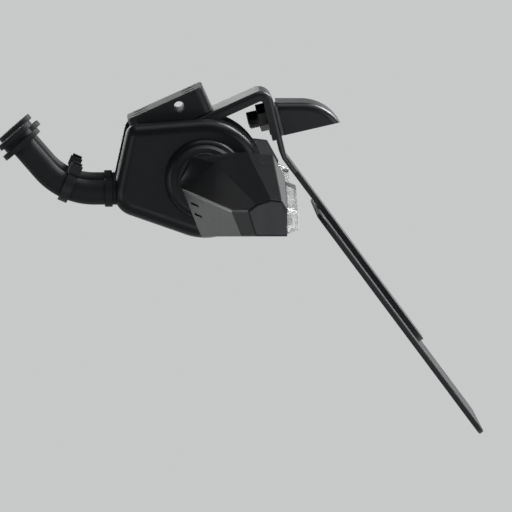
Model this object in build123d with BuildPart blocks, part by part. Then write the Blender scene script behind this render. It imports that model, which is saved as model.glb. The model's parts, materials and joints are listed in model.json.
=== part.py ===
from build123d import *
import math
import os

# Tail tidy: a folded number-plate bracket with two indicators and a plate light, in millimetres.
# +X points to the rear, +Y to the right-hand side and +Z up. The origin is the middle of the four
# mounting holes on the spacer block's top face, which rises to the rear.

# Folded bracket
sheet = 2.0
mount_slope = 24.2
bracket_half_width = 28.0
arm_reach = 38.8
drop_length = 27.2
drop_lean = 13.4
tongue_length = 87.0
tongue_dip = 53.3
tongue_half_width = 25.0
tongue_corner = 12.0
tongue_shoulder = 7.0
bend_radius = 5.0
fold_radius = 1.8
lip_depth = 3.8
lip_length = 20.4
lobe_radius = 22.6

# Spacer block and its screws
block_length = 31.0
block_width = 50.0
block_thickness = 10.3
block_corner = 4.0
mount_hole_pitch = 20.0
mount_hole_radius = 3.3
cross_hole_radius = 2.0
cross_hole_along = 4.4
cross_hole_below = 3.5
spacer_screw_radius = 2.0
spacer_screw_pitch = 38.0
spacer_screw_length = 10.0

# Plate carrier and its screws
carrier_width = 136.0
carrier_height = 102.3
carrier_start = 23.0
carrier_corner = 6.0
carrier_screw_radius = 2.0
carrier_screw_pitch = 32.0
carrier_screw_rows = 40.0
carrier_screw_first = 34.0
plate_hole_pitch = 116.0
plate_hole_radius = 3.0
plate_hole_first = 34.0
plate_hole_rows = 74.0
edge_break = 0.4

# Plate light
light_station = 6.9
light_width = 50.0
light_depth = 24.0
light_flat = 10.0
light_nose_drop = 7.4
light_height = 12.6
light_wall = 1.8
light_corner = 3.0
light_lens_thickness = 1.8
light_nose_margin = 1.2
gasket_thickness = 1.0
board_thickness = 1.2
board_above_lens = 1.4
board_start = 5.5
board_length = 8.5
board_post_radius = 2.0
board_width = 42.0
led_size = 3.0
led_height = 1.0
led_pitch = 12.0
led_count = 3
light_stud_radius = 2.5
light_stud_pitch = 30.0
light_stud_station = 12.0
light_stud_reach = 9.0
light_stud_seat = 3.0
light_boss_radius = 4.4
light_washer_radius = 5.0
light_washer_thickness = 1.0
light_nut_flats = 8.0
light_nut_height = 4.0

# Indicator mounts on the outside of the lobes, measured from the stem's axis
stem_along = 2.25
stem_depth = 21.5
mount_thickness = 13.0
mount_wall = 2.5
mount_edge = 4.5
mount_radius = 22.2
mount_nose_radius = 8.9
mount_nose_ahead = 25.5
mount_nose_below = 5.2
mount_brow_radius = 4.3
mount_brow_ahead = 25.6
mount_brow_above = 16.0
boss_radius = 15.2
boss_height = 4.0
boss_edge = 3.2
mount_screw_radius = 2.0
mount_screw_length = 9.0
mount_screw_head_radius = 3.6
mount_screw_head_height = 2.2
mount_screw_post = 4.2
mount_screw_circle = 15.5
mount_screw_angles = (160.0, 222.0)

# Rubber stems and their hollow studs
stem_length = 9.0
stem_radius = 8.6
stem_flange_radius = 13.0
stem_flange = 2.4
stem_rib_radius = 10.2
stem_rib = 1.6
stem_rib_count = 2
stem_draft = 25.0
stud_radius = 5.0
stud_bore_radius = 3.0
stud_engagement = 6.6
stud_end = 1.5
stud_post_radius = 8.0
stem_washer_radius = 9.0
stem_washer_thickness = 1.5
stem_nut_flats = 16.0
stem_nut_height = 5.5

# Indicator bodies, measured from the stem's axis
collar_radius = 10.3
collar_length = 4.0
pod_root_radius = 10.9
pod_root_angles = (188.0, 248.0, 312.0, 0.0, 37.0, 70.0, 121.0)
pod_shoulder = 10.0
pod_length = 68.0
pod_rear = 29.3
pod_nose = 8.8
pod_below = 20.2
pod_above = 11.4
pod_nose_level = -2.7
pod_chin = -1.8
pod_rear_top = 2.5
pod_rear_chamfer = 4.3
pod_top_slope = 1.1
pod_crown = 15.4
pod_brow = 3.4
pod_brow_level = 7.3
pod_tip_scale = 0.43
pod_tip_level = -15.1
pod_tip_lean = 8.0
pod_bevel_length = 12.0
pod_bevel_width = 3.0
pod_slot_along = 9.0
pod_slot_first = 4.5
pod_slot_pitch = 4.4
pod_slot_length = 8.0
pod_slot_width = 1.0
pod_slot_depth = 0.8
pod_slot_count = 2
pod_wall = 2.2
pod_edge = 0.9
lens_margin = 0.8
lens_bulge = 4.2
lens_draft = 20.0
lens_wall = 1.4
lens_corner = 3.2
lens_least_corner = 0.4
lens_skirt = 3.2
lens_start = 2.0
lens_opening_start = 9.0
lens_end = 5.0
lens_edge = 0.9
flute_pitch = 2.4
flute_width = 1.2
flute_depth = 0.6
flute_count = 16
reflector_depth = 19.0
reflector_gap = 1.0
reflector_end_wall = 2.0
trough_radius = 6.4
trough_end_radius = 3.0
trough_length = 34.0
bulb_ahead = 13.0
bulb_radius = 4.0
bulb_length = 14.0
bulb_base_radius = 3.6
bulb_base_length = 5.0
holder_radius = 6.0
holder_length = 7.0
lens_screw_radius = 1.5
lens_screw_head_radius = 2.6
lens_screw_head_height = 1.6
lens_screw_length = 5.0
lens_screw_along = 4.0
lens_screw_above = 6.0
screw_block_half = 3.2
screw_block_depth = 6.4

# Wiring boots and their ties
boot_radius = 4.6
boot_bore_radius = 2.6
boot_offset = 6.3
boot_insert = 5.5
boot_corner_ahead = 53.1
boot_end_ahead = 68.3
boot_end_rise = 17.5
boot_bend = 25.0
bead_radius = 5.4
bead_length = 3.0
grommet_radius = 8.4
grommet_lip_radius = 7.4
grommet_groove_radius = 6.0
grommet_step = 2.0
tie_station = 0.5
tie_width = 3.6
tie_thickness = 0.9
tie_head_length = 4.6
tie_head_width = 5.4
tie_head_height = 3.6
tie_tail_length = 1.0
tie_tail_thickness = 1.3

# Fits
fit_gap = 0.3
thread_gap = 0.1
screw_socket = 0.72


def on_slope(along, above):
    """Point of the side view that lies along and above the mounting face."""
    slope = math.radians(mount_slope)
    return (along * math.cos(slope) - above * math.sin(slope),
            along * math.sin(slope) + above * math.cos(slope))


def moved(point, distance, direction):
    """Point of the side view a distance away, with the direction in degrees above +X."""
    angle = math.radians(direction)
    return (point[0] + distance * math.cos(angle), point[1] + distance * math.sin(angle))


def from_stem(along, above):
    """Point of the side view, measured from the stem's axis."""
    return (stem[0] + along, stem[1] + above)


def inclined(point, turn):
    """Plane through a point of the side view, turned about +Y."""
    turned = Plane.XY.rotated((0, turn, 0))
    return Plane((point[0], 0, point[1]), x_dir=turned.x_dir, z_dir=turned.z_dir)


def hexagon_radius(flats):
    """Corner radius of a hexagon from the width across its flats."""
    return flats / math.sqrt(3)


def countersunk_screw(radius, length):
    """Flush screw that points down from the current place."""
    Cone(radius, 2 * radius, radius, align=(Align.CENTER, Align.CENTER, Align.MAX))
    Cylinder(radius, length, align=(Align.CENTER, Align.CENTER, Align.MAX))


def save(builder, name):
    """Label a finished piece and write it."""
    builder.part.label = name
    export_step(builder.part, f"parts/{name}.step")


def save_pair(builder, name):
    """Write a left-hand piece and its mirror image on the right."""
    save(builder, f"left_{name}")
    with BuildPart() as opposite:
        add(mirror(builder.part, about=Plane.XZ, mode=Mode.PRIVATE))
    save(opposite, f"right_{name}")


os.makedirs("parts", exist_ok=True)

# Side view of the sheet's outer line: flange front, apex, bend and tongue end
front = on_slope(-block_length / 2, -block_thickness)
apex = on_slope(arm_reach, -block_thickness)
bend = moved(apex, drop_length, drop_lean - 90)
tongue_end = moved(bend, tongue_length, -tongue_dip)
lip_end = moved(apex, lip_length, drop_lean - 90)
stem = on_slope(stem_along, -block_thickness - stem_depth)

# Work planes, each with its X along the sheet and its Z out of the visible face
mount_face = inclined((0, 0), -mount_slope)
flange_top = mount_face.offset(-block_thickness)
flange_under = -flange_top.offset(-sheet)
drop_face = inclined(apex, 90 - drop_lean)
drop_front = drop_face.offset(-sheet)
tongue_face = inclined(bend, tongue_dip)
carrier_face = tongue_face.offset(-sheet)

# Distances of the left-hand stack from the middle plane
lobe_inside = bracket_half_width - sheet
mount_outside = bracket_half_width + mount_thickness
boss_end = mount_outside + boss_height
collar_start = boss_end + stem_length
pod_root = collar_start + collar_length
shoulder = pod_root + pod_shoulder
pod_tip = pod_root + pod_length
boot_distance = bracket_half_width + boot_offset
mount_screw_places = [moved(stem, mount_screw_circle, angle) for angle in mount_screw_angles]

# Places on the flange, the drop and the tongue
spacer_screw_places = GridLocations(1, spacer_screw_pitch, 1, 2).local_locations
mount_hole_places = GridLocations(mount_hole_pitch, mount_hole_pitch, 2, 2).local_locations
carrier_screw_middle = carrier_screw_first + carrier_screw_rows / 2
plate_hole_middle = plate_hole_first + plate_hole_rows / 2

# Main bracket
with BuildPart() as main_bracket:
    with BuildSketch(Plane.XZ):
        with BuildLine():
            FilletPolyline(front, apex, bend, tongue_end, radius=(bend_radius, bend_radius - sheet))
            offset(amount=sheet, side=Side.RIGHT)
        make_face()
    extrude(amount=bracket_half_width, both=True)

    # Side lips and round lobes, folded down along both edges
    with BuildSketch(Plane.XZ.offset(lobe_inside)):
        with Locations(stem):
            Circle(lobe_radius)
        with BuildLine():
            Polyline((front[0], stem[1]), stem, on_slope(block_length / 2, -block_thickness),
                     (front[0], stem[1] + lobe_radius), close=True)
        make_face()
        with BuildLine():
            Polyline(on_slope(-arm_reach, -block_thickness), apex, on_slope(arm_reach, -2 * arm_reach),
                     on_slope(-arm_reach, -2 * arm_reach), close=True)
        make_face(mode=Mode.INTERSECT)
        with BuildLine():
            FilletPolyline(front, apex, lip_end, radius=bend_radius)
            offset(amount=lip_depth, side=Side.RIGHT)
        make_face()
    extrude(amount=sheet)
    mirror(about=Plane.XZ)

    # Tongue outline
    with BuildSketch(tongue_face):
        with Locations((tongue_shoulder, 0)):
            Rectangle(tongue_length, 2 * bracket_half_width, align=(Align.MIN, Align.CENTER))
        Rectangle(3 * tongue_length, 2 * tongue_half_width, mode=Mode.SUBTRACT)
    extrude(amount=2 * sheet, both=True, mode=Mode.SUBTRACT)
    tongue_normal = Axis(tongue_face.origin, tongue_face.z_dir)
    fillet(main_bracket.edges().filter_by(tongue_normal).sort_by(Axis.Z)[:2], tongue_corner)

    # Outer fold edges
    with BuildLine(Plane.XZ, mode=Mode.PRIVATE) as fold_line:
        FilletPolyline(front, apex, lip_end, radius=bend_radius)
    fold_edges = [
        edge for edge in main_bracket.edges()
        if abs(abs(edge.position_at(0.5).Y) - bracket_half_width) < 0.01
        and fold_line.wire().distance_to(edge.position_at(0.5)) < bracket_half_width + 0.01
    ]
    fillet(fold_edges, fold_radius)

    # Holes for the mounting bolts, the block's screws, the carrier's screws and the light's studs
    with Locations(flange_top):
        with Locations(*mount_hole_places):
            Hole(mount_hole_radius, depth=2 * sheet)
    with Locations(flange_under):
        with Locations(*spacer_screw_places):
            CounterSinkHole(spacer_screw_radius + thread_gap, 2 * spacer_screw_radius, depth=2 * sheet,
                            counter_sink_angle=90)
    with Locations(tongue_face):
        with Locations((carrier_screw_middle, 0)):
            with GridLocations(carrier_screw_rows, carrier_screw_pitch, 2, 2):
                CounterSinkHole(carrier_screw_radius + thread_gap, 2 * carrier_screw_radius, depth=2 * sheet,
                                counter_sink_angle=90)
    with Locations(drop_face):
        with Locations((light_stud_station, 0)):
            with GridLocations(1, light_stud_pitch, 1, 2):
                Hole(light_stud_radius + fit_gap, depth=2 * sheet)

    # Holes in the lobes
    with BuildSketch(Plane.XZ):
        with Locations(stem):
            Circle(stud_radius + fit_gap)
        with Locations(*mount_screw_places):
            Circle(mount_screw_radius + fit_gap)
    extrude(amount=2 * bracket_half_width, both=True, mode=Mode.SUBTRACT)
save(main_bracket, "main_bracket")

# Spacer block
with BuildPart() as spacer_block:
    with BuildSketch(flange_top):
        RectangleRounded(block_length, block_width, block_corner)
    extrude(amount=block_thickness)
    chamfer(spacer_block.faces().filter_by(Axis(mount_face.origin, mount_face.z_dir)).edges(), edge_break)
    with Locations(mount_face):
        with Locations(*mount_hole_places):
            Hole(mount_hole_radius, depth=block_thickness)
        with Locations(*spacer_screw_places):
            with Locations((0, 0, -block_thickness)):
                Cylinder(spacer_screw_radius + thread_gap, spacer_screw_length,
                         align=(Align.CENTER, Align.CENTER, Align.MIN), mode=Mode.SUBTRACT)
    with BuildSketch(Plane.XZ):
        with Locations(on_slope(cross_hole_along, -cross_hole_below)):
            Circle(cross_hole_radius)
    extrude(amount=block_width, both=True, mode=Mode.SUBTRACT)
save(spacer_block, "spacer_block")

# Screws under the flange that hold the block
with BuildPart() as spacer_screws:
    with Locations(flange_under):
        with Locations(*spacer_screw_places):
            countersunk_screw(spacer_screw_radius, sheet + spacer_screw_length - fit_gap)
    with BuildSketch(flange_under):
        with Locations(*spacer_screw_places):
            RegularPolygon(spacer_screw_radius * screw_socket, 6)
    extrude(amount=-spacer_screw_radius, mode=Mode.SUBTRACT)
save(spacer_screws, "spacer_screws")

# Plate carrier on the front of the tongue
with BuildPart() as plate_carrier:
    with BuildSketch(carrier_face):
        with Locations((carrier_start + carrier_height / 2, 0)):
            RectangleRounded(carrier_height, carrier_width, carrier_corner)
        with Locations((carrier_screw_middle, 0)):
            with GridLocations(carrier_screw_rows, carrier_screw_pitch, 2, 2):
                Circle(carrier_screw_radius + thread_gap, mode=Mode.SUBTRACT)
        with Locations((plate_hole_middle, 0)):
            with GridLocations(plate_hole_rows, plate_hole_pitch, 2, 2):
                Circle(plate_hole_radius, mode=Mode.SUBTRACT)
    extrude(amount=-sheet)
    sheet_normal = Axis(carrier_face.origin, carrier_face.z_dir)
    for face in plate_carrier.faces().filter_by(sheet_normal):
        chamfer(face.outer_wire().edges(), edge_break)
save(plate_carrier, "plate_carrier")

with BuildPart() as carrier_screws:
    with Locations(tongue_face):
        with Locations((carrier_screw_middle, 0)):
            with GridLocations(carrier_screw_rows, carrier_screw_pitch, 2, 2):
                countersunk_screw(carrier_screw_radius, 2 * sheet)
    with BuildSketch(tongue_face):
        with Locations((carrier_screw_middle, 0)):
            with GridLocations(carrier_screw_rows, carrier_screw_pitch, 2, 2):
                RegularPolygon(carrier_screw_radius * screw_socket, 6)
    extrude(amount=-carrier_screw_radius, mode=Mode.SUBTRACT)
save(carrier_screws, "carrier_screws")

# Side view of the plate light: top front, top rear, nose and bottom front
light_top = moved(moved(apex, light_station, drop_lean - 90), gasket_thickness, drop_lean)
light_brow = (light_top[0] + light_flat, light_top[1])
light_nose = (light_top[0] + light_depth, light_top[1] - light_nose_drop)
light_heel = moved(light_top, light_height, drop_lean - 90)
light_rise = math.degrees(math.atan2(light_nose[1] - light_heel[1], light_nose[0] - light_heel[0]))
light_sole = math.dist(light_heel, light_nose)
light_under = inclined(light_heel, -light_rise)
light_front = drop_face.offset(gasket_thickness)
light_lens_length = light_sole - 2 * light_wall - light_nose_margin
light_lens_width = light_width - 2 * light_wall
light_board_under = light_under.offset(light_lens_thickness + board_above_lens)
light_stud_places = [(light_stud_station, side * light_stud_pitch / 2) for side in (-1, 1)]


def light_profile(inset):
    """Outline of the plate light's side view, drawn inside its true edge by an inset."""
    with BuildSketch() as profile:
        with BuildLine():
            Line(light_heel, light_top)
            Line(light_top, light_brow)
            TangentArc(light_brow, light_nose, tangent=(1, 0))
            Line(light_nose, light_heel)
        make_face()
        if inset:
            offset(amount=-inset, kind=Kind.INTERSECTION)
    return profile.sketch_local


with BuildPart() as plate_light_housing:
    with BuildSketch(Plane.XZ):
        add(light_profile(0))
    extrude(amount=light_width / 2, both=True)
    hood_edges = [
        edge for edge in plate_light_housing.edges()
        if abs(abs(edge.position_at(0.5).Y) - light_width / 2) < 0.01
        and edge.position_at(0.5).Z > light_nose[1] + light_nose_drop / 4
        and edge.position_at(0.5).X > light_heel[0]
    ]
    fillet(hood_edges, light_corner)
    with BuildSketch(Plane.XZ):
        add(light_profile(light_wall))
    extrude(amount=light_width / 2 - light_wall, both=True, mode=Mode.SUBTRACT)
    with BuildSketch(light_under):
        with Locations((light_wall, 0)):
            Rectangle(light_lens_length, light_lens_width, align=(Align.MIN, Align.CENTER))
    extrude(amount=2 * light_wall, mode=Mode.SUBTRACT)
    # Bosses for the studs and posts for the board
    with BuildSketch(light_front.offset(light_wall / 2)):
        with Locations(*light_stud_places):
            Circle(light_boss_radius)
    extrude(amount=light_stud_seat)
    with BuildSketch(light_board_under.offset(board_thickness)):
        with Locations((board_start + board_length / 2, 0)):
            with GridLocations(1, board_width - 2 * light_boss_radius, 1, 2):
                Circle(board_post_radius)
    extrude(until=Until.NEXT)
    with Locations(light_front):
        with Locations(*light_stud_places):
            Cylinder(light_stud_radius + thread_gap, light_stud_seat,
                     align=(Align.CENTER, Align.CENTER, Align.MIN), mode=Mode.SUBTRACT)
save(plate_light_housing, "plate_light_housing")

with BuildPart() as plate_light_lens:
    with BuildSketch(light_under):
        with Locations((light_wall + fit_gap, 0)):
            Rectangle(light_lens_length - 2 * fit_gap, light_lens_width - 2 * fit_gap,
                      align=(Align.MIN, Align.CENTER))
    extrude(amount=light_lens_thickness)
save(plate_light_lens, "plate_light_lens")

with BuildPart() as plate_light_board:
    with BuildSketch(light_board_under):
        with Locations((board_start, 0)):
            Rectangle(board_length, board_width, align=(Align.MIN, Align.CENTER))
    extrude(amount=board_thickness)
save(plate_light_board, "plate_light_board")

with BuildPart() as plate_light_leds:
    with BuildSketch(light_board_under):
        with Locations((board_start + board_length / 2, 0)):
            with GridLocations(1, led_pitch, 1, led_count):
                Rectangle(led_size, led_size)
    extrude(amount=-led_height)
save(plate_light_leds, "plate_light_leds")

with BuildPart() as plate_light_gasket:
    with BuildSketch(drop_face):
        with Locations((light_station + light_corner / 2, 0)):
            Rectangle(light_height - light_corner / 2, light_width - light_corner,
                      align=(Align.MIN, Align.CENTER))
        with Locations(*light_stud_places):
            Circle(light_stud_radius + fit_gap, mode=Mode.SUBTRACT)
    extrude(amount=gasket_thickness)
save(plate_light_gasket, "plate_light_gasket")

with BuildPart() as plate_light_studs:
    with BuildSketch(drop_front.offset(-light_stud_reach)):
        with Locations(*light_stud_places):
            Circle(light_stud_radius)
    extrude(amount=light_stud_reach + sheet + gasket_thickness + light_stud_seat)
    chamfer(plate_light_studs.edges().filter_by(GeomType.CIRCLE).group_by(Axis.X)[0], light_stud_radius / 5)
save(plate_light_studs, "plate_light_studs")

with BuildPart() as plate_light_washers:
    with BuildSketch(drop_front):
        with Locations(*light_stud_places):
            Circle(light_washer_radius)
            Circle(light_stud_radius + fit_gap, mode=Mode.SUBTRACT)
    extrude(amount=-light_washer_thickness)
save(plate_light_washers, "plate_light_washers")

with BuildPart() as plate_light_nuts:
    with BuildSketch(drop_front.offset(-light_washer_thickness)):
        with Locations(*light_stud_places):
            RegularPolygon(hexagon_radius(light_nut_flats), 6)
            Circle(light_stud_radius + thread_gap, mode=Mode.SUBTRACT)
    extrude(amount=-light_nut_height)
save(plate_light_nuts, "plate_light_nuts")

# Indicator mounts: hollow teardrop mouldings with a round boss
mount_nose = from_stem(-mount_nose_ahead, -mount_nose_below)
mount_brow = from_stem(-mount_brow_ahead, mount_brow_above)
boot_start = (mount_nose[0] - mount_nose_radius + boot_insert, mount_nose[1])


def mount_outline(inset):
    """Teardrop outline of an indicator mount, drawn inside its true edge by an inset."""
    with BuildSketch() as outline:
        with BuildLine():
            CenterArc(stem, mount_radius - inset, 0, 360)
            CenterArc(mount_nose, mount_nose_radius - inset, 0, 360)
            CenterArc(mount_brow, mount_brow_radius - inset, 0, 360)
        make_hull()
    return outline.sketch_local


with BuildPart() as indicator_mount:
    with BuildSketch(Plane.XZ.offset(bracket_half_width)):
        add(mount_outline(0))
    extrude(amount=mount_thickness)
    fillet(indicator_mount.faces().sort_by(Axis.Y)[0].edges(), mount_edge)
    with BuildSketch(Plane.XZ.offset(mount_outside)):
        with Locations(stem):
            Circle(boss_radius)
    extrude(amount=boss_height)
    fillet(indicator_mount.faces().sort_by(Axis.Y)[0].edges(), boss_edge)
    with BuildSketch(Plane.XZ.offset(bracket_half_width)):
        add(mount_outline(mount_wall))
        with Locations(stem):
            Circle(lobe_radius - mount_wall, mode=Mode.INTERSECT)
            Circle(stud_post_radius, mode=Mode.SUBTRACT)
        with Locations(*mount_screw_places):
            Circle(mount_screw_post, mode=Mode.SUBTRACT)
    extrude(amount=mount_thickness - mount_wall, mode=Mode.SUBTRACT)
    with BuildSketch(Plane.XZ.offset(bracket_half_width)):
        with Locations(stem):
            Circle(stud_radius + fit_gap)
    extrude(amount=mount_thickness + boss_height, mode=Mode.SUBTRACT)
    with BuildSketch(Plane.XZ.offset(bracket_half_width)):
        with Locations(*mount_screw_places):
            Circle(mount_screw_radius + thread_gap)
    extrude(amount=mount_screw_length, mode=Mode.SUBTRACT)
    with BuildSketch(Plane.YZ.offset(boot_start[0])):
        with Locations((-boot_distance, mount_nose[1])):
            Circle(boot_radius + fit_gap)
    extrude(amount=-2 * boot_insert, mode=Mode.SUBTRACT)
    with BuildSketch(Plane.YZ.offset(boot_start[0])):
        with Locations((-boot_distance, mount_nose[1])):
            Circle(boot_bore_radius)
    extrude(amount=stem[0] - mount_screw_circle - boot_start[0], mode=Mode.SUBTRACT)
save_pair(indicator_mount, "indicator_mount")

with BuildPart() as mount_screws:
    with BuildSketch(Plane.XZ.offset(lobe_inside)):
        with Locations(*mount_screw_places):
            Circle(mount_screw_head_radius)
    extrude(amount=-mount_screw_head_height)
    chamfer(mount_screws.edges().group_by(Axis.Y)[-1], mount_screw_head_height / 3)
    with BuildSketch(Plane.XZ.offset(lobe_inside - mount_screw_head_height)):
        with Locations(*mount_screw_places):
            RegularPolygon(mount_screw_radius * screw_socket, 6)
    extrude(amount=mount_screw_head_height / 2, mode=Mode.SUBTRACT)
    with BuildSketch(Plane.XZ.offset(lobe_inside)):
        with Locations(*mount_screw_places):
            Circle(mount_screw_radius)
    extrude(amount=sheet + mount_screw_length - fit_gap)
save_pair(mount_screws, "mount_screws")

# Rubber stem between the boss and the indicator's collar
with BuildPart() as indicator_stem:
    with BuildSketch(Plane.XZ.offset(boss_end)):
        with Locations(stem):
            Circle(stem_radius)
    extrude(amount=stem_length)
    with BuildSketch(Plane.XZ.offset(boss_end)):
        with Locations(stem):
            Circle(stem_flange_radius)
    extrude(amount=stem_flange, taper=stem_draft)
    rib_space = (stem_length - stem_flange) / (stem_rib_count + 1)
    for rib in range(stem_rib_count):
        with BuildSketch(Plane.XZ.offset(boss_end + stem_flange + (rib + 1) * rib_space - stem_rib / 2)):
            with Locations(stem):
                Circle(stem_rib_radius)
        extrude(amount=stem_rib)
    with BuildSketch(Plane.XZ.offset(boss_end)):
        with Locations(stem):
            Circle(stud_radius + fit_gap)
    extrude(amount=stem_length, mode=Mode.SUBTRACT)
save_pair(indicator_stem, "indicator_stem")

# Hollow stud, washer and nut on the inside of the lobe
stud_start = lobe_inside - stem_washer_thickness - stem_nut_height - stud_end
with BuildPart() as stem_stud:
    with BuildSketch(Plane.XZ.offset(stud_start)):
        with Locations(stem):
            Circle(stud_radius)
            Circle(stud_bore_radius, mode=Mode.SUBTRACT)
    extrude(amount=collar_start + stud_engagement - stud_start)
save_pair(stem_stud, "stem_stud")

with BuildPart() as stem_washer:
    with BuildSketch(Plane.XZ.offset(lobe_inside)):
        with Locations(stem):
            Circle(stem_washer_radius)
            Circle(stud_radius + fit_gap, mode=Mode.SUBTRACT)
    extrude(amount=-stem_washer_thickness)
save_pair(stem_washer, "stem_washer")

with BuildPart() as stem_nut:
    with BuildSketch(Plane.XZ.offset(lobe_inside - stem_washer_thickness)):
        with Locations(stem):
            RegularPolygon(hexagon_radius(stem_nut_flats), 6)
            Circle(stud_radius + thread_gap, mode=Mode.SUBTRACT)
    extrude(amount=-stem_nut_height)
save_pair(stem_nut, "stem_nut")

# Indicator body: facets lofted from a round root to a broad shoulder and out to a tip of the same outline.
# Each section runs nose, chin, low rear, high rear, top rear, top front and brow.
root_section = [moved(stem, pod_root_radius, angle) for angle in pod_root_angles]
shoulder_section = [
    from_stem(-pod_nose, pod_nose_level),
    from_stem(pod_chin, -pod_below),
    from_stem(pod_rear, -pod_below),
    from_stem(pod_rear, pod_rear_top),
    from_stem(pod_rear - pod_rear_chamfer, pod_above - pod_top_slope),
    from_stem(pod_crown, pod_above),
    from_stem(pod_brow, pod_brow_level),
]
taper_point = from_stem(pod_rear, pod_tip_level)
tip_section = [
    tuple(middle + pod_tip_scale * (value - middle) for middle, value in zip(taper_point, point))
    for point in shoulder_section
]


def pod_section(distance):
    """Section of the indicator body between its shoulder and its tip."""
    share = (distance - shoulder) / (pod_tip - shoulder)
    return [
        (near[0] + share * (far[0] - near[0]), near[1] + share * (far[1] - near[1]))
        for near, far in zip(shoulder_section, tip_section)
    ]


def section_outline(points, inset):
    """Outline of a body section, drawn inside its true edge by an inset."""
    with BuildSketch() as section:
        with BuildLine():
            Polyline(*points, close=True)
        make_face()
        if inset:
            offset(amount=-inset, kind=Kind.INTERSECTION)
    return section.sketch_local


def lens_outline(start, margin):
    """Outline on the body's rear face from a starting distance, inside the face's edge by a margin."""
    inner = start + margin
    outer = pod_tip - lens_end - margin
    rounding = max(lens_corner - margin, lens_least_corner)
    corners = []
    for distance, level in ((inner, 2), (outer, 2), (outer, 3), (inner, 3)):
        inward = margin if level == 2 else -margin
        corners.append((-distance, pod_section(distance)[level][1] + inward))
    with BuildSketch() as outline:
        with BuildLine():
            FilletPolyline(*corners, radius=rounding, close=True)
        make_face()
    return outline.sketch_local


def rear_middle(distance):
    """Height of the middle of the body's rear face."""
    section = pod_section(distance)
    return (section[2][1] + section[3][1]) / 2


def trough_outline(distance, radius):
    """Section of the reflector's trough: round at the front and open to the rear."""
    with BuildSketch() as outline:
        with Locations((bulb_x, rear_middle(distance))):
            Circle(radius)
            Rectangle(bulb_ahead, 2 * radius, align=(Align.MIN, Align.CENTER))
    return outline.sketch_local


# Planes of the body: its sloping tip, the bevel ahead of the tip and the lower front facet
tip_top = max(point[1] for point in tip_section)
tip_plane = Plane((0, -pod_tip, tip_top), z_dir=(0, -1, 0)).rotated((pod_tip_lean, 0, 0))
facet_nose = Vector(shoulder_section[0][0], -shoulder, shoulder_section[0][1])
facet_chin = Vector(shoulder_section[1][0], -shoulder, shoulder_section[1][1])
facet_end = Vector(tip_section[0][0], -pod_tip, tip_section[0][1])
facet_run = facet_end - facet_nose
facet_drop = facet_chin - facet_nose
facet_plane = Plane(facet_nose, x_dir=facet_run, z_dir=facet_run.cross(facet_drop))
bevel_start = facet_end - facet_run.normalized() * pod_bevel_length
bevel_end = facet_end + Vector(pod_bevel_width, 0, 0)
bevel_plane = Plane(bevel_end, z_dir=facet_drop.cross(bevel_end - bevel_start))

rear_x = stem[0] + pod_rear
rear_plane = Plane.YZ.offset(rear_x)
lens_inner = shoulder + lens_start
opening_inner = shoulder + lens_opening_start
cavity_start = shoulder + pod_wall
cavity_end = pod_tip - 3 * pod_wall
reflector_inner = opening_inner + reflector_gap
trough_start = reflector_inner + reflector_end_wall
bulb_x = rear_x - bulb_ahead
bulb_z = rear_middle(trough_start)
bulb_plane = Plane((bulb_x, -reflector_inner, bulb_z), x_dir=(1, 0, 0), z_dir=(0, -1, 0))
bulb_side = Plane((bulb_x, -trough_start, bulb_z), x_dir=(0, -1, 0), z_dir=(0, 0, 1))
screw_distance = lens_inner + lens_screw_along
screw_z = pod_section(screw_distance)[2][1] + lens_screw_above
screw_spot = (-screw_distance, screw_z)

with BuildPart() as body_cavity:
    for distance in (cavity_start, cavity_end):
        with BuildSketch(Plane.XZ.offset(distance)):
            add(section_outline(pod_section(distance), pod_wall))
    loft(ruled=True)
    # The block that takes the lens screw stays solid
    with BuildSketch(rear_plane):
        with Locations(screw_spot):
            Rectangle(2 * screw_block_half, pod_below, align=(Align.CENTER, Align.MAX))
            Circle(screw_block_half)
    extrude(amount=-screw_block_depth, mode=Mode.SUBTRACT)

with BuildPart() as indicator_housing:
    for distance, section in ((pod_root, root_section), (shoulder, shoulder_section), (pod_tip, tip_section)):
        with BuildSketch(Plane.XZ.offset(distance)):
            add(section_outline(section, 0))
    loft(ruled=True)
    split(bisect_by=tip_plane, keep=Keep.BOTTOM)
    split(bisect_by=bevel_plane, keep=Keep.BOTTOM)
    outer_edges = [
        edge for edge in indicator_housing.edges()
        if edge.position_at(0.5).Y < -shoulder and edge.position_at(0.5).X < rear_x - fit_gap
    ]
    fillet(outer_edges, pod_edge)
    with BuildSketch(Plane.XZ.offset(collar_start)):
        with Locations(stem):
            Circle(collar_radius)
    extrude(amount=collar_length)
    add(body_cavity.part, mode=Mode.SUBTRACT)
    with BuildSketch(facet_plane):
        for slot in range(pod_slot_count):
            with Locations((pod_slot_along, pod_slot_first + slot * pod_slot_pitch)):
                SlotOverall(pod_slot_length, pod_slot_width)
    extrude(amount=pod_slot_depth, mode=Mode.SUBTRACT)
    with BuildSketch(rear_plane):
        add(lens_outline(opening_inner - pod_wall, pod_wall))
    extrude(amount=-2 * pod_wall, mode=Mode.SUBTRACT)
    with BuildSketch(Plane.XZ.offset(collar_start)):
        with Locations(stem):
            Circle(stud_radius + thread_gap)
    extrude(amount=stud_engagement, mode=Mode.SUBTRACT)
    with BuildSketch(rear_plane):
        with Locations(screw_spot):
            Circle(lens_screw_radius + thread_gap)
    extrude(amount=-lens_screw_length, mode=Mode.SUBTRACT)
save_pair(indicator_housing, "indicator_housing")

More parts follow.
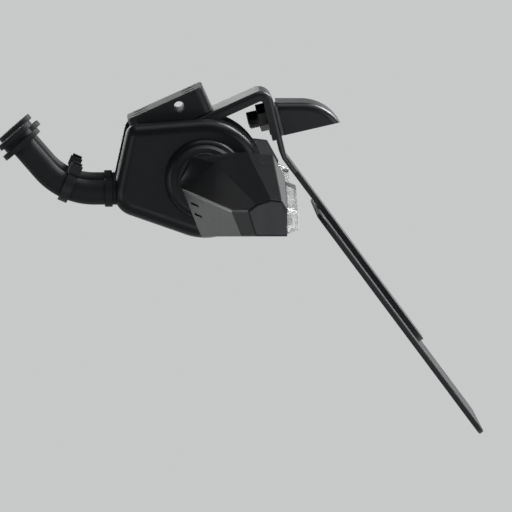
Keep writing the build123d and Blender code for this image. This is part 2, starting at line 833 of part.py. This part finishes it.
# Clear lens over the rear opening, with a skirt that locates it
with BuildPart() as indicator_lens:
    with BuildSketch(rear_plane):
        add(lens_outline(lens_inner, lens_margin))
    extrude(amount=lens_bulge, taper=lens_draft)
    fillet(indicator_lens.faces().sort_by(Axis.X)[-1].edges(), lens_edge)
    with BuildSketch(rear_plane):
        add(lens_outline(opening_inner - lens_margin, lens_margin + lens_wall))
    extrude(amount=lens_bulge - lens_wall, taper=lens_draft, mode=Mode.SUBTRACT)
    # Upright flutes on the inside of the lens
    flute_middle = (opening_inner + pod_tip - lens_end) / 2
    with BuildSketch(rear_plane.offset(lens_bulge - lens_wall)):
        with Locations((-flute_middle, rear_middle(flute_middle))):
            with GridLocations(flute_pitch, 1, flute_count, 1):
                Rectangle(flute_width, pod_below)
        add(lens_outline(opening_inner - lens_margin, lens_margin + lens_wall), mode=Mode.INTERSECT)
    extrude(amount=-flute_depth)
    with BuildSketch(rear_plane):
        add(lens_outline(opening_inner - pod_wall, pod_wall + fit_gap))
        add(lens_outline(opening_inner - pod_wall, pod_wall + fit_gap + lens_wall), mode=Mode.SUBTRACT)
    extrude(amount=-lens_skirt)
    with BuildSketch(rear_plane):
        with Locations(screw_spot):
            Circle(lens_screw_radius + fit_gap)
    extrude(amount=lens_bulge, mode=Mode.SUBTRACT)
    with BuildSketch(rear_plane.offset(lens_wall)):
        with Locations(screw_spot):
            Circle(lens_screw_head_radius + fit_gap)
    extrude(amount=lens_bulge, mode=Mode.SUBTRACT)
save_pair(indicator_lens, "indicator_lens")

with BuildPart() as lens_screw:
    with BuildSketch(rear_plane.offset(lens_wall)):
        with Locations(screw_spot):
            Circle(lens_screw_head_radius)
    extrude(amount=lens_screw_head_height)
    chamfer(lens_screw.edges().sort_by(Axis.X)[-1], lens_screw_head_height / 3)
    with BuildSketch(rear_plane.offset(lens_wall + lens_screw_head_height)):
        with Locations(screw_spot):
            Rectangle(lens_screw_radius / 2, 2 * lens_screw_radius)
            Rectangle(2 * lens_screw_radius, lens_screw_radius / 2)
    extrude(amount=-lens_screw_head_height / 2, mode=Mode.SUBTRACT)
    with BuildSketch(rear_plane.offset(lens_wall)):
        with Locations(screw_spot):
            Circle(lens_screw_radius)
    extrude(amount=-lens_wall - lens_screw_length + fit_gap)
save_pair(lens_screw, "lens_screw")

# Bright reflector: fills the cavity behind the lens, with a tapered trough for the bulb
reflector_rear = rear_plane.offset(-lens_skirt - fit_gap)
with BuildPart() as indicator_reflector:
    for distance in (reflector_inner, cavity_end - fit_gap):
        with BuildSketch(Plane.XZ.offset(distance)):
            add(section_outline(pod_section(distance), pod_wall + fit_gap))
    loft(ruled=True)
    split(bisect_by=reflector_rear, keep=Keep.BOTTOM)
    split(bisect_by=reflector_rear.offset(-reflector_depth), keep=Keep.TOP)
    trough_finish = trough_start + trough_length
    for distance, radius in ((trough_start, trough_radius), (trough_finish, trough_end_radius)):
        with BuildSketch(Plane.XZ.offset(distance)):
            add(trough_outline(distance, radius))
    loft(mode=Mode.SUBTRACT)
    with BuildSketch(bulb_plane):
        Circle(bulb_base_radius + fit_gap)
    extrude(amount=reflector_end_wall, mode=Mode.SUBTRACT)
save_pair(indicator_reflector, "indicator_reflector")

with BuildPart() as bulb_holder:
    with BuildSketch(bulb_plane):
        Circle(holder_radius)
        Circle(bulb_base_radius + fit_gap, mode=Mode.SUBTRACT)
    extrude(amount=-holder_length)
save_pair(bulb_holder, "bulb_holder")

with BuildPart() as indicator_bulb:
    with BuildSketch(bulb_plane.offset(-bulb_base_length)):
        Circle(bulb_base_radius)
    extrude(amount=bulb_base_length + reflector_end_wall)
    with BuildSketch(bulb_side):
        with BuildLine():
            Polyline((bulb_length - bulb_radius, 0), (0, 0), (0, bulb_base_radius - fit_gap),
                     (bulb_radius, bulb_radius), (bulb_length - bulb_radius, bulb_radius))
            RadiusArc((bulb_length - bulb_radius, bulb_radius), (bulb_length, 0), bulb_radius)
            Line((bulb_length, 0), (bulb_length - bulb_radius, 0))
        make_face()
    revolve(axis=Axis(bulb_plane.origin, bulb_plane.z_dir))
save_pair(indicator_bulb, "indicator_bulb")

# Rubber boot from the mount's nose to a grommet, and the tie round it
boot_corner = from_stem(-boot_corner_ahead, -mount_nose_below)
boot_end = from_stem(-boot_end_ahead, boot_end_rise - mount_nose_below)
nose_tip = mount_nose[0] - mount_nose_radius
with BuildLine(Plane.XZ.offset(boot_distance)) as boot_path:
    FilletPolyline(boot_start, boot_corner, boot_end, radius=boot_bend)
boot_line = boot_path.wire()
boot_plane = Plane(boot_line @ 0, x_dir=(0, -1, 0), z_dir=boot_line % 0)
grommet_plane = Plane(boot_line @ 1, x_dir=(0, -1, 0), z_dir=boot_line % 1)
tie_plane = Plane(boot_line @ tie_station, x_dir=(0, -1, 0), z_dir=boot_line % tie_station)

with BuildPart() as wiring_boot:
    with BuildSketch(boot_plane):
        Circle(boot_radius)
    sweep(path=boot_line)
    with BuildSketch(Plane.YZ.offset(nose_tip - fit_gap)):
        with Locations((-boot_distance, mount_nose[1])):
            Circle(bead_radius)
    extrude(amount=-bead_length)
    fillet(wiring_boot.edges().filter_by(lambda edge: abs(edge.length - 2 * math.pi * bead_radius) < 0.01),
           (bead_radius - boot_radius) / 2)
    for step, radius in enumerate((grommet_radius, grommet_groove_radius, grommet_lip_radius)):
        with BuildSketch(grommet_plane.offset(step * grommet_step)):
            Circle(radius)
        extrude(amount=grommet_step)
    with BuildSketch(boot_plane):
        Circle(boot_bore_radius)
    sweep(path=boot_line, mode=Mode.SUBTRACT)
    with BuildSketch(grommet_plane):
        Circle(boot_bore_radius)
    extrude(amount=3 * grommet_step, mode=Mode.SUBTRACT)
save_pair(wiring_boot, "wiring_boot")

with BuildPart() as cable_tie:
    with BuildSketch(tie_plane):
        Circle(boot_radius + fit_gap + tie_thickness)
        Circle(boot_radius + fit_gap, mode=Mode.SUBTRACT)
    extrude(amount=tie_width / 2, both=True)
    with BuildSketch(tie_plane):
        with Locations((0, boot_radius + fit_gap + tie_thickness / 2)):
            Rectangle(tie_head_width, tie_head_height, align=(Align.CENTER, Align.MIN))
    extrude(amount=tie_head_length / 2, both=True)
    with BuildSketch(tie_plane):
        with Locations((0, boot_radius + fit_gap + tie_thickness / 2 + tie_head_height)):
            Rectangle(tie_tail_thickness, tie_tail_length, align=(Align.CENTER, Align.MIN))
    extrude(amount=tie_width / 2, both=True)
save_pair(cable_tie, "cable_tie")
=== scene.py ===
import json
import math

import bmesh
import bpy
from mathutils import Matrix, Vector


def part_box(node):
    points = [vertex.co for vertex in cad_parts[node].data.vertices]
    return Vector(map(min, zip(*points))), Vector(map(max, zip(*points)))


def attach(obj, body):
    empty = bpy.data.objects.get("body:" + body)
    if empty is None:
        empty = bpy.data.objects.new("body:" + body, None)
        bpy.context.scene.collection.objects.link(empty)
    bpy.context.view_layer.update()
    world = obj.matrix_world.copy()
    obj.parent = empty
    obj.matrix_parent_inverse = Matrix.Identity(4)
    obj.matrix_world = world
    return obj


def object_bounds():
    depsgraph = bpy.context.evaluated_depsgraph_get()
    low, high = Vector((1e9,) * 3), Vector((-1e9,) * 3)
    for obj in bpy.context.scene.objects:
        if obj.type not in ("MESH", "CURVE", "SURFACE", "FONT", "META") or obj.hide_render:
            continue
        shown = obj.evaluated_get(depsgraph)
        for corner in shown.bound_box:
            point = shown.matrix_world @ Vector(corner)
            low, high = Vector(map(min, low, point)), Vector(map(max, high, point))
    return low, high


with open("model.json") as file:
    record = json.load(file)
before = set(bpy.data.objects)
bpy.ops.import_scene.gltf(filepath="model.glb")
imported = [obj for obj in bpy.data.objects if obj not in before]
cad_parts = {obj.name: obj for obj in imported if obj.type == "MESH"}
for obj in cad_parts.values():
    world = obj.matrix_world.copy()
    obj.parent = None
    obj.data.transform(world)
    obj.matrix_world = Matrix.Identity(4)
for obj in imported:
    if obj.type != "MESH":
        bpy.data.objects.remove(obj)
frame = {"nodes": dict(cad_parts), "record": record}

# Looks for the tail tidy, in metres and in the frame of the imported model
cad_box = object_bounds()
nodes = frame["nodes"]
MM = 0.001

# Camera: nearly square to the left-hand side, framed on a square of the side view
view_azimuth = -0.9
view_elevation = 2.9
view_distance = 5.0
view_square = 0.194
look_at = Vector((0.0348, 0.0, -0.059))
sensor_width = 36.0

# World: its colours, and the heights where they start and end, from 0 straight down to 1 straight up
ground_light = (0.66, 0.66, 0.65, 1.0)
background = (0.575, 0.585, 0.585, 1.0)
sky_light = (0.05, 0.05, 0.055, 1.0)
ground_end = 0.2
horizon_start = 0.45
horizon_end = 0.50
sky_start = 0.62

# Floor
floor_colour = (0.74, 0.74, 0.73)
floor_darkest = 0.97
floor_speckle = 20 * MM
floor_roughness = 0.9
floor_drop = 0.25
floor_reach = 30.0
floor_segments = 96
floor_fade_start = 0.3
floor_fade_end = 1.5

# Lamps: name, place, watts and size
lamps = [
    ("overhead", Vector((0.1, 0.0, 1.2)), 4.0, 0.9),
    ("rim", Vector((0.66, 0.6, 0.85)), 18.0, 0.5),
    ("far_low", Vector((-0.08, 1.2, 0.07)), 0.4, 0.25),
    ("left_front", Vector((-0.9, -0.8, -0.1)), 2.4, 0.6),
    ("left_low", Vector((0.05, -0.61, -0.27)), 0.6, 0.25),
    ("left_rear", Vector((0.9, -0.7, 0.35)), 6.0, 0.8),
    ("right_rear", Vector((0.8, 0.9, 0.2)), 4.0, 0.8),
    ("right_front", Vector((-0.8, 0.9, 0.1)), 5.0, 0.8),
]
# Lamps that stand too low to light the floor evenly, so they light the part alone
low_lamps = ("far_low", "left_front", "left_low", "right_rear", "right_front")
# Lenses that let the lamps light what lies behind them
open_lenses = ("left_indicator_lens", "right_indicator_lens", "plate_light_lens")

# Shared by all finishes
noise_detail = 3.0
noise_low = 0.3
noise_high = 0.7
bevel_samples = 4
mix_first, mix_second, mix_result = 6, 7, 2     # colour sockets of a Mix node

# Moulded and coated finishes: tints, sizes of the patches, and how far tone and roughness vary
# The blue tint of the blacks is painted shade: the cool cast of shade, laid into their colour and the
# tint of their reflections.
painted_shade_tint = (0.89, 0.95, 1.0)
plain_grey = (0.96, 0.96, 1.0)
moulded_cloud = 12 * MM
moulded_patch = 4 * MM
wear_patch = 3 * MM
moulded_darkest = 0.75
moulded_lightest = 1.3
moulded_smoother = 0.02
moulded_rougher = 0.03
# Likeness of the rounded normal to the true one, on a flat and along a sharp edge
flat_likeness = 0.97
edge_likeness = 0.80

# Metals
metal_cloud = 5 * MM
metal_patch = 1.5 * MM
metal_darkest = 0.7
metal_smoother = 0.08
metal_rougher = 0.1
metal_lay_spacing = 0.25 * MM
metal_edge = 0.2 * MM

# Clear mouldings
clear_cloud = 10 * MM
clear_patch = 6 * MM
clear_darkest = 0.94
clear_rougher = 0.04
clear_ior = 1.5
clear_edge = 0.2 * MM

# Circuit board and its chips
board_mask = (0.02, 0.12, 0.05, 1.0)
board_track = (0.05, 0.24, 0.10, 1.0)
board_roughness = 0.35
board_edge = 0.1 * MM
track_spacing = 3 * MM
track_height = 0.05 * MM
track_edge_low = 0.55
track_edge_high = 0.62
phosphor_deep = (0.85, 0.72, 0.25, 1.0)
phosphor_pale = (0.95, 0.9, 0.6, 1.0)
phosphor_patch = 1 * MM
phosphor_roughness = 0.3

# Threads on the bare ends of the studs. The width is a share of the pitch.
drop_lean = math.radians(13.4)
light_stud_axis = Vector((math.cos(drop_lean), 0.0, math.sin(drop_lean)))
light_stud_radius = 2.5 * MM
light_stud_bare = 4.0 * MM
light_stud_pitch = 0.8 * MM
stem_stud_radius = 5.0 * MM
stem_stud_bare = 1.5 * MM
stem_stud_pitch = 0.75 * MM
thread_root = 0.05 * MM
thread_crest = 0.25
thread_width = 0.9
turn_steps = 24
end_tolerance = 0.01 * MM

# Filament of each bulb: coil across the bulb on two supports that rise from its base
filament_turns = 7
filament_radius = 0.45 * MM
filament_half_width = 1.6 * MM
filament_wire = 0.12 * MM
filament_depth = 6.5 * MM
support_wire = 0.2 * MM
bulb_base = 7.0 * MM
wire_sides = 8
wire_aside = Vector((0.3, 0.5, 0.8))            # direction that no wire follows


class Shader:
    """A material's node tree, with short calls for the nodes that the finishes share."""

    def __init__(self, name):
        self.name = name
        self.material = bpy.data.materials.new(name)
        self.material.use_nodes = True
        self.tree = self.material.node_tree
        self.surface = self.tree.nodes["Principled BSDF"]
        self.place = self.node("ShaderNodeTexCoord").outputs["Object"]

    def node(self, kind, **settings):
        made = self.tree.nodes.new(kind)
        for key, value in settings.items():
            setattr(made, key, value)
        return made

    def feed(self, socket, value):
        """Link a socket to another one, or set it to a plain value."""
        if isinstance(value, bpy.types.NodeSocket):
            self.tree.links.new(value, socket)
        else:
            socket.default_value = value

    def set(self, **values):
        """Feed sockets of the surface by name, with _ for each space."""
        for name, value in values.items():
            self.feed(self.surface.inputs[name.replace("_", " ")], value)

    def noise(self, size):
        """Noise between 0 and 1 with features of about that size in metres."""
        made = self.node("ShaderNodeTexNoise")
        self.feed(made.inputs["Vector"], self.place)
        self.feed(made.inputs["Scale"], 1.0 / size)
        self.feed(made.inputs["Detail"], noise_detail)
        return made.outputs[0]

    def uneven(self, size, low, high):
        """Noise of that size, spread between two values."""
        return self.scaled(self.noise(size), noise_low, noise_high, low, high)

    def bands(self, direction, spacing):
        """Even ridges between 0 and 1, that follow each other along a direction at that spacing."""
        along = self.node("ShaderNodeVectorMath", operation="DOT_PRODUCT")
        self.feed(along.inputs[0], self.place)
        self.feed(along.inputs[1], direction)
        phase = self.math("MULTIPLY", along.outputs["Value"], math.tau / spacing)
        wave = self.math("SINE", phase)
        return self.scaled(wave, -1.0, 1.0, 0.0, 1.0)

    def math(self, operation, first, second=0.0):
        made = self.node("ShaderNodeMath", operation=operation)
        self.feed(made.inputs[0], first)
        self.feed(made.inputs[1], second)
        return made.outputs[0]

    def scaled(self, value, low, high, new_low, new_high, course="LINEAR"):
        """Value carried over from one range to another."""
        made = self.node("ShaderNodeMapRange", interpolation_type=course)
        for socket, number in zip(made.inputs, (value, low, high, new_low, new_high)):
            self.feed(socket, number)
        return made.outputs[0]

    def mixed(self, share, first, second):
        """First colour where the share is 0, second where it is 1."""
        made = self.node("ShaderNodeMix", data_type="RGBA")
        self.feed(made.inputs[0], share)
        self.feed(made.inputs[mix_first], first)
        self.feed(made.inputs[mix_second], second)
        return made.outputs[mix_result]

    def soft_edges(self, radius):
        """Normal that rounds the sharp edges by a radius."""
        made = self.node("ShaderNodeBevel", samples=bevel_samples)
        self.feed(made.inputs["Radius"], radius)
        return made.outputs[0]

    def edge_mask(self, rounded):
        """1 along sharp edges and 0 on flats."""
        flat = self.node("ShaderNodeNewGeometry").outputs["Normal"]
        likeness = self.node("ShaderNodeVectorMath", operation="DOT_PRODUCT")
        self.feed(likeness.inputs[0], rounded)
        self.feed(likeness.inputs[1], flat)
        return self.scaled(likeness.outputs["Value"], flat_likeness, edge_likeness, 0.0, 1.0)

    def relief(self, height, depth, normal=None):
        """Normal with a bump of that depth in metres, laid over another normal where one is given."""
        made = self.node("ShaderNodeBump")
        self.feed(made.inputs["Distance"], depth)
        self.feed(made.inputs["Height"], height)
        if normal:
            self.feed(made.inputs["Normal"], normal)
        return made.outputs[0]


def toned(level, tint):
    """Opaque colour of a tint at that level."""
    return tuple(level * part for part in tint) + (1.0,)


def moulded(name, level, roughness, grain, depth, edge=None, worn=None, shine=0.3, tint=painted_shade_tint):
    """Moulding or coat: cloudy tone, uneven gloss, fine grain and, where asked, soft or worn edges."""
    shader = Shader(name)
    dark = toned(level * moulded_darkest, tint)
    light = toned(level * moulded_lightest, tint)
    tone = shader.mixed(shader.noise(moulded_cloud), dark, light)
    rounded = shader.soft_edges(edge) if edge else None
    if worn:
        wear = shader.math("MULTIPLY", shader.edge_mask(rounded), shader.noise(wear_patch))
        tone = shader.mixed(wear, tone, toned(worn, plain_grey))
    # Where the tint is the blue one of the blacks, it paints shade into the colour and the
    # reflections.
    shader.set(
        Base_Color=tone,
        Specular_IOR_Level=shine,
        Specular_Tint=toned(1.0, tint),
        Roughness=shader.uneven(
            moulded_patch, roughness - moulded_smoother, roughness + moulded_rougher
        ),
        Normal=shader.relief(shader.noise(grain), depth, rounded),
    )
    return shader


def metal(name, colour, roughness, lay, depth):
    """Plated or oxidised metal with a directional lay."""
    shader = Shader(name)
    dark = toned(metal_darkest, colour)
    light = toned(1.0, colour)
    rounded = shader.soft_edges(metal_edge)
    shader.set(
        Base_Color=shader.mixed(shader.noise(metal_cloud), dark, light),
        Metallic=1.0,
        Roughness=shader.uneven(metal_patch, roughness - metal_smoother, roughness + metal_rougher),
        Normal=shader.relief(shader.bands(lay, metal_lay_spacing), depth, rounded),
    )
    return shader


def clear(name, colour, roughness, lay, spacing, depth, cleared=1.0):
    """Clear moulding with fine flutes, less than fully cleared where it looks milky."""
    shader = Shader(name)
    dark = toned(clear_darkest, colour)
    light = toned(1.0, colour)
    rounded = shader.soft_edges(clear_edge)
    shader.set(
        Base_Color=shader.mixed(shader.noise(clear_cloud), dark, light),
        Transmission_Weight=cleared,
        IOR=clear_ior,
        Roughness=shader.uneven(clear_patch, roughness, roughness + clear_rougher),
        Normal=shader.relief(shader.bands(lay, spacing), depth, rounded),
    )
    return shader


def board_finish():
    """Circuit board: solder mask with lighter tracks."""
    shader = Shader("board_green")
    ridges = shader.bands((0.0, 1.0, 0.0), track_spacing)
    tracks = shader.scaled(ridges, track_edge_low, track_edge_high, 0.0, 1.0)
    shader.set(
        Base_Color=shader.mixed(tracks, board_mask, board_track),
        Roughness=board_roughness,
        Normal=shader.relief(tracks, track_height, shader.soft_edges(board_edge)),
    )
    return shader


def lamp_chip_finish():
    """Unlit light-emitting chip: yellow phosphor with paler patches."""
    shader = Shader("led_white")
    shader.set(
        Base_Color=shader.mixed(shader.noise(phosphor_patch), phosphor_deep, phosphor_pale),
        Roughness=phosphor_roughness,
    )
    return shader


def make_finishes():
    """Every material slot of the record with its material."""
    made = [
        moulded("bracket_coat", level=0.012, roughness=0.34, grain=0.45 * MM, depth=0.005 * MM,
                edge=0.35 * MM, worn=0.10),
        moulded("carrier_coat", level=0.012, roughness=0.48, grain=2.0 * MM, depth=0.001 * MM,
                edge=0.3 * MM, worn=0.10, shine=0.2),
        moulded("block_black", level=0.009, roughness=0.42, grain=0.3 * MM, depth=0.02 * MM,
                edge=0.3 * MM, worn=0.14, shine=0.18),
        moulded("light_black", level=0.012, roughness=0.3, grain=0.5 * MM, depth=0.012 * MM,
                edge=0.4 * MM),
        moulded("gasket_grey", level=0.34, roughness=0.85, grain=0.5 * MM, depth=0.15 * MM,
                edge=0.2 * MM, shine=0.5, tint=plain_grey),
        moulded("mount_black", level=0.008, roughness=0.31, grain=0.35 * MM, depth=0.008 * MM,
                edge=0.3 * MM, shine=0.16),
        moulded("stem_rubber", level=0.013, roughness=0.7, grain=0.4 * MM, depth=0.05 * MM,
                edge=0.3 * MM),
        moulded("pod_black", level=0.008, roughness=0.30, grain=0.6 * MM, depth=0.0012 * MM,
                shine=0.22),
        moulded("holder_black", level=0.02, roughness=0.5, grain=0.4 * MM, depth=0.03 * MM,
                edge=0.3 * MM),
        moulded("boot_rubber", level=0.009, roughness=0.6, grain=0.4 * MM, depth=0.05 * MM,
                edge=0.4 * MM, shine=0.15),
        moulded("tie_black", level=0.011, roughness=0.45, grain=0.4 * MM, depth=0.02 * MM,
                edge=0.15 * MM, shine=0.2),
        metal("black_steel", colour=(0.07, 0.07, 0.073), roughness=0.42,
              lay=(0.6, 0.8, 0.0), depth=0.01 * MM),
        metal("zinc_steel", colour=(0.66, 0.66, 0.64), roughness=0.3,
              lay=(0.0, 0.7, 0.7), depth=0.01 * MM),
        metal("reflector_chrome", colour=(0.80, 0.80, 0.80), roughness=0.35,
              lay=(0.0, 1.0, 0.0), depth=0.0),
        clear("light_lens", colour=(0.95, 0.97, 0.98), roughness=0.06,
              lay=(1.0, 0.0, 0.0), spacing=1.5 * MM, depth=0.12 * MM),
        clear("clear_lens", colour=(0.98, 0.98, 0.98), roughness=0.03,
              lay=(0.0, 1.0, 0.0), spacing=2.0 * MM, depth=0.01 * MM, cleared=0.90),
        clear("amber_glass", colour=(0.95, 0.42, 0.05), roughness=0.03,
              lay=(0.0, 1.0, 0.0), spacing=6.0 * MM, depth=0.01 * MM),
        board_finish(),
        lamp_chip_finish(),
    ]
    return {shader.name: shader.material for shader in made}


def add_mesh(name, shape, material):
    """New object from a bmesh."""
    mesh = bpy.data.meshes.new(name)
    shape.to_mesh(mesh)
    shape.free()
    made = bpy.data.objects.new(name, mesh)
    bpy.context.scene.collection.objects.link(made)
    made.data.materials.append(material)
    return made


def add_piece(name, rings, slot, smooth=False):
    """New piece of the part from rings of points, joined side to side and closed at both ends."""
    shape = bmesh.new()
    corners = [[shape.verts.new(point) for point in ring] for ring in rings]
    count = len(corners[0])
    for near, far in zip(corners, corners[1:]):
        for index in range(count):
            other = (index + 1) % count
            side = shape.faces.new((near[index], near[other], far[other], far[index]))
            side.smooth = smooth
    shape.faces.new(corners[0])
    shape.faces.new(corners[-1])
    bmesh.ops.recalc_face_normals(shape, faces=shape.faces)
    piece = add_mesh(name, shape, finishes[slot])
    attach(piece, "root")


def end_centre(node, side, direction):
    """Middle of the end face furthest back along a direction, on one side of the middle plane."""
    points = [vertex.co for vertex in nodes[node].data.vertices if vertex.co.y * side > 0]
    furthest = min(point.dot(direction) for point in points)
    ends = [point for point in points if point.dot(direction) - furthest < end_tolerance]
    return sum(ends, Vector()) / len(ends)


def add_thread(name, node, side, direction, radius, length, pitch):
    """Helical ridge on the bare end of a stud."""
    start = end_centre(node, side, direction)
    across = direction.orthogonal().normalized()
    upward = direction.cross(across)
    root = radius - thread_root
    crest = radius + thread_crest * pitch
    width = thread_width * pitch
    turns = length / pitch - 1.0
    rings = []
    for step in range(int(turns * turn_steps) + 1):
        angle = math.tau * step / turn_steps
        outward = across * math.cos(angle) + upward * math.sin(angle)
        along = pitch * step / turn_steps
        profile = ((root, along), (crest, along + width / 2), (root, along + width))
        rings.append([start + outward * out + direction * shift for out, shift in profile])
    slot = next(entry["material_slot"] for entry in frame["record"]["subparts"]
                if entry["node"] == node)
    add_piece(name, rings, slot)


def add_wire(name, points, radius, slot):
    """Bent round wire through a row of points."""
    turns = [math.tau * side / wire_sides for side in range(wire_sides)]
    rings = []
    for index, point in enumerate(points):
        ahead = points[min(index + 1, len(points) - 1)] - points[max(index - 1, 0)]
        across = ahead.cross(wire_aside).normalized()
        upward = ahead.cross(across).normalized()
        rings.append([point + radius * (across * math.cos(turn) + upward * math.sin(turn))
                      for turn in turns])
    add_piece(name, rings, slot, smooth=True)


def add_filament(side_name, side):
    """Coil and supports inside one bulb."""
    low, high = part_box(f"{side_name}_indicator_bulb")
    middle = (Vector(low) + Vector(high)) / 2
    inner = high[1] if side < 0 else low[1]
    coil = Vector((middle.x, inner + side * (bulb_base + filament_depth), middle.z))
    steps = filament_turns * turn_steps
    points = []
    for step in range(steps + 1):
        turn = math.tau * step / turn_steps
        across = filament_half_width * (2 * step / steps - 1)
        rise = filament_radius * math.sin(turn)
        points.append(coil + Vector((across, filament_radius * math.cos(turn), rise)))
    add_wire(f"{side_name}_filament", points, filament_wire, "zinc_steel")
    for label, end in (("front", points[0]), ("rear", points[-1])):
        foot = Vector((middle.x + (end.x - middle.x) / 2, inner + side * bulb_base, middle.z))
        waist = Vector((end.x, end.y - side * filament_depth / 2, end.z))
        add_wire(f"{side_name}_{label}_support", [foot, waist, end], support_wire, "zinc_steel")


def add_floor():
    """Round pale floor well below the part, that fades into the background."""
    shape = bmesh.new()
    bmesh.ops.create_circle(shape, cap_ends=True, segments=floor_segments, radius=floor_reach)
    shader = Shader("floor")
    light = toned(1.0, floor_colour)
    dark = toned(floor_darkest, floor_colour)
    reach = shader.node("ShaderNodeVectorMath", operation="LENGTH")
    shader.feed(reach.inputs[0], shader.place)
    distance = reach.outputs["Value"]
    shader.set(
        Base_Color=shader.mixed(shader.noise(floor_speckle), light, dark),
        Roughness=floor_roughness,
        Alpha=shader.scaled(distance, floor_fade_start, floor_fade_end, 1.0, 0.0, "SMOOTHSTEP"),
    )
    floor = add_mesh("floor", shape, shader.material)
    floor.location.z = cad_box[0].z - floor_drop
    return floor


def add_world():
    """Soft light that is brightest from below and darkest from above, with a plain pale horizon."""
    world = bpy.data.worlds.new("studio")
    world.use_nodes = True
    bpy.context.scene.world = world
    tree = world.node_tree
    tree.nodes.clear()
    output = tree.nodes.new("ShaderNodeOutputWorld")
    shown = tree.nodes.new("ShaderNodeBackground")
    place = tree.nodes.new("ShaderNodeTexCoord")
    height = tree.nodes.new("ShaderNodeSeparateXYZ")
    lift = tree.nodes.new("ShaderNodeMapRange")
    lift.inputs["From Min"].default_value = -1.0
    ramp = tree.nodes.new("ShaderNodeValToRGB")
    first, last = ramp.color_ramp.elements
    first.color = ground_light
    first.position = ground_end
    last.color = sky_light
    last.position = sky_start
    for position in (horizon_start, horizon_end):
        level = ramp.color_ramp.elements.new(position)
        level.color = background
    tree.links.new(place.outputs["Generated"], height.inputs[0])
    tree.links.new(height.outputs["Z"], lift.inputs["Value"])
    tree.links.new(lift.outputs[0], ramp.inputs[0])
    tree.links.new(ramp.outputs[0], shown.inputs["Color"])
    tree.links.new(shown.outputs[0], output.inputs["Surface"])


def add_lamps(floor):
    """Square lamps that face the part. The low ones leave the floor out."""
    left_dark = bpy.data.collections.new("left_dark")
    left_dark.objects.link(floor)
    left_dark.collection_objects[0].light_linking.link_state = "EXCLUDE"
    for name, place, watts, size in lamps:
        light = bpy.data.lights.new(name, "AREA")
        light.energy = watts
        light.size = size
        lamp = bpy.data.objects.new(name, light)
        lamp.location = place
        lamp.rotation_euler = (look_at - place).to_track_quat("-Z", "Y").to_euler()
        lamp.visible_camera = False
        lamp.visible_transmission = False
        if name in low_lamps:
            lamp.light_linking.receiver_collection = left_dark
        bpy.context.scene.collection.objects.link(lamp)


def add_camera():
    """Camera at the photo's angle, whose frame is the square of the side view."""
    azimuth = math.radians(view_azimuth)
    elevation = math.radians(view_elevation)
    level = Vector((math.sin(azimuth), -math.cos(azimuth), 0.0))
    back = level * math.cos(elevation) + Vector((0.0, 0.0, math.sin(elevation)))
    data = bpy.data.cameras.new("camera")
    data.sensor_width = sensor_width
    data.lens = sensor_width * view_distance / view_square
    camera = bpy.data.objects.new("camera", data)
    camera.location = look_at + back * view_distance
    camera.rotation_euler = (-back).to_track_quat("-Z", "Y").to_euler()
    bpy.context.scene.collection.objects.link(camera)
    bpy.context.scene.camera = camera


bpy.context.scene.view_settings.view_transform = "Standard"
finishes = make_finishes()
for entry in frame["record"]["subparts"]:
    piece = nodes[entry["node"]]
    piece.data.materials.clear()
    piece.data.materials.append(finishes[entry["material_slot"]])
for node in open_lenses:
    nodes[node].visible_shadow = False

for side_name, side in (("left", -1), ("right", 1)):
    add_thread(f"{side_name}_light_thread", "plate_light_studs", side, light_stud_axis,
               light_stud_radius, light_stud_bare, light_stud_pitch)
    add_thread(f"{side_name}_stem_thread", f"{side_name}_stem_stud", side,
               Vector((0.0, side, 0.0)), stem_stud_radius, stem_stud_bare, stem_stud_pitch)
    add_filament(side_name, side)

floor = add_floor()
add_world()
add_lamps(floor)
add_camera()
